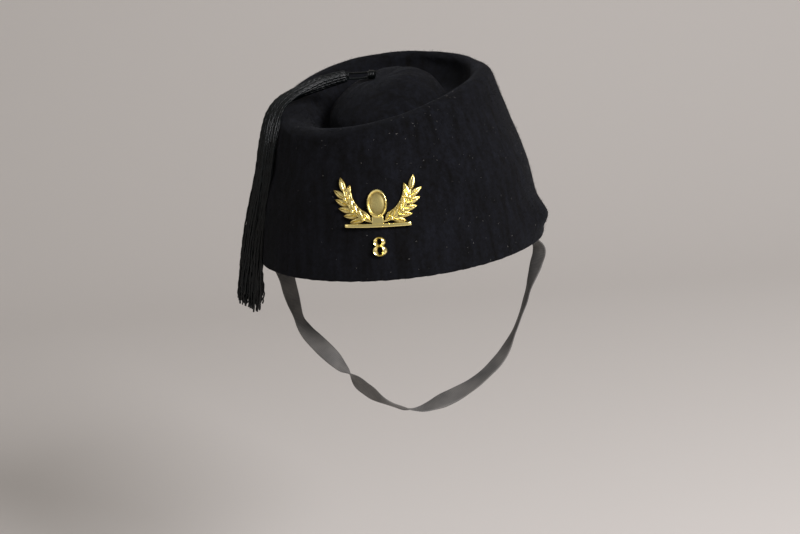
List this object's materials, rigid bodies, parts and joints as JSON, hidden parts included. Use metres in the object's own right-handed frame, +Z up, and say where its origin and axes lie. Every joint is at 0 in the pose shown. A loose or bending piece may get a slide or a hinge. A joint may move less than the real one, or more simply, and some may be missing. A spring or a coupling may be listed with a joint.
{
  "type": "fez hat",
  "caption": "Worn black felt fez: tapered oval crown with a rolled lip and sunken domed tip, silky side tassel, gilt laurel and figure badges, ribbon chin strap.",
  "frame": {"origin": "middle of the head opening, in the plane of the rim", "axes": "+Z up through the crown, -Y to the front with the badges, +X to the wearer's left"},
  "size_m": [0.1902, 0.2006, 0.197],
  "materials": {
    "felt": "matt napped wool felt, near black",
    "silk": "lustrous black artificial silk strands with a cool sheen",
    "gilt_brass": "stamped and gilt, bright on the raised parts and darker in the hollows",
    "plain_brass": "plain turned brass, dull",
    "ribbon": "ribbed ribbon, black faded to a warm dark grey"
  },
  "bodies": {
    "root": {"crown": "felt", "crown_knot": "silk", "tassel_cord_1": "silk", "tassel_cord_2": "silk", "tassel_skirt": "silk", "badge_emblem": "gilt_brass", "badge_numeral": "gilt_brass", "emblem_nut_left": "plain_brass", "emblem_nut_right": "plain_brass", "numeral_nut": "plain_brass", "chin_strap": "ribbon"}
  },
  "joints": []
}
